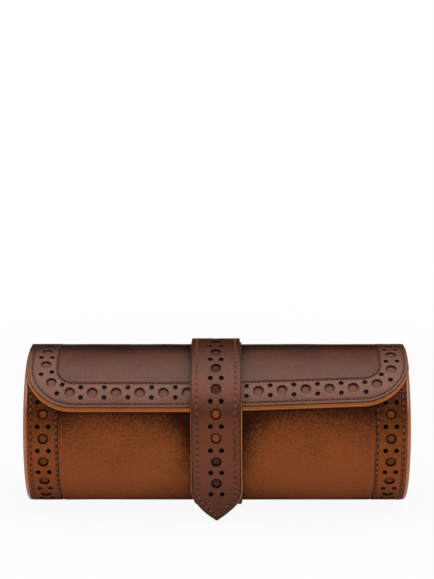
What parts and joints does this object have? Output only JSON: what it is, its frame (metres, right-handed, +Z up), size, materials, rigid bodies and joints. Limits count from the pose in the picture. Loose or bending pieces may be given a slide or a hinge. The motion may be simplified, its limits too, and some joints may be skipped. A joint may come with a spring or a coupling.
{
  "type": "watch roll",
  "caption": "Cylindrical leather watch roll with a perforated border, a flap over its top, a pointed strap and lift-out watch cushions.",
  "frame": {"origin": "centre of the flat under the strap, where the roll rests", "axes": "+X along the roll to the viewer's right, -Y out of the front where the strap hangs, +Z up"},
  "size_m": [0.204, 0.089, 0.0895],
  "materials": {
    "case_leather": "burnished tan-brown calf leather, darker towards the edges",
    "dark_leather": "burnished dark brown calf leather with a soft sheen",
    "underlay": "smooth leather that shows through the perforations",
    "tan_edge": "tan lining leather with a burnished cut edge",
    "suede": "fine suede lining",
    "cushion_suede": "soft suede cushion cover",
    "foam": "upholstery foam",
    "board": "grey fibreboard",
    "steel": "plated magnet and steel plate"
  },
  "bodies": {
    "case": {"case_board": "board", "case_underlay": "underlay", "case_panel": "case_leather", "side_band_left": "case_leather", "side_band_right": "case_leather", "case_lining": "suede", "lip_binding": "dark_leather", "rim_left": "case_leather", "rim_right": "case_leather", "end_panel_left": "dark_leather", "end_panel_right": "dark_leather", "end_board_left": "board", "end_board_right": "board", "end_lining_left": "suede", "end_lining_right": "suede", "divider_board_left": "board", "divider_board_right": "board", "divider_cover_left": "suede", "divider_cover_right": "suede", "under_strap": "dark_leather", "under_strap_core": "underlay", "strap_keeper": "steel", "flap_hinge": "dark_leather", "strap_hinge": "dark_leather"},
    "flap": {"flap_lining": "tan_edge", "flap_underlay": "underlay", "flap_panel": "dark_leather", "flap_border": "dark_leather", "strap_upper": "dark_leather", "strap_upper_core": "underlay", "strap_upper_lining": "tan_edge"},
    "strap_tail": {"strap_tail": "dark_leather", "strap_tail_core": "underlay", "strap_tail_lining": "tan_edge", "strap_magnet": "steel"},
    "cushion_left": {"cushion_cover_left": "cushion_suede", "cushion_core_left": "foam"},
    "cushion_middle": {"cushion_cover_middle": "cushion_suede", "cushion_core_middle": "foam"},
    "cushion_right": {"cushion_cover_right": "cushion_suede", "cushion_core_right": "foam"}
  },
  "joints": [
    {"name": "flap_fold", "type": "hinge", "parent": "case", "child": "flap", "pos_m": [0, 0.03784, 0.06455], "axis": [-1, 0, 0], "range_deg": [0, 120], "deforming": ["flap_hinge", "strap_hinge"]},
    {"name": "strap_tail_peel", "type": "hinge", "parent": "flap", "child": "strap_tail", "pos_m": [0, -0.04085, 0.06553], "axis": [-1, 0, 0], "range_deg": [0, 80]},
    {"name": "cushion_left_lift", "type": "slide", "parent": "case", "child": "cushion_left", "axis": [0, 0, 1], "range_m": [0, 0.018]},
    {"name": "cushion_middle_lift", "type": "slide", "parent": "case", "child": "cushion_middle", "axis": [0, 0, 1], "range_m": [0, 0.018]},
    {"name": "cushion_right_lift", "type": "slide", "parent": "case", "child": "cushion_right", "axis": [0, 0, 1], "range_m": [0, 0.018]}
  ]
}
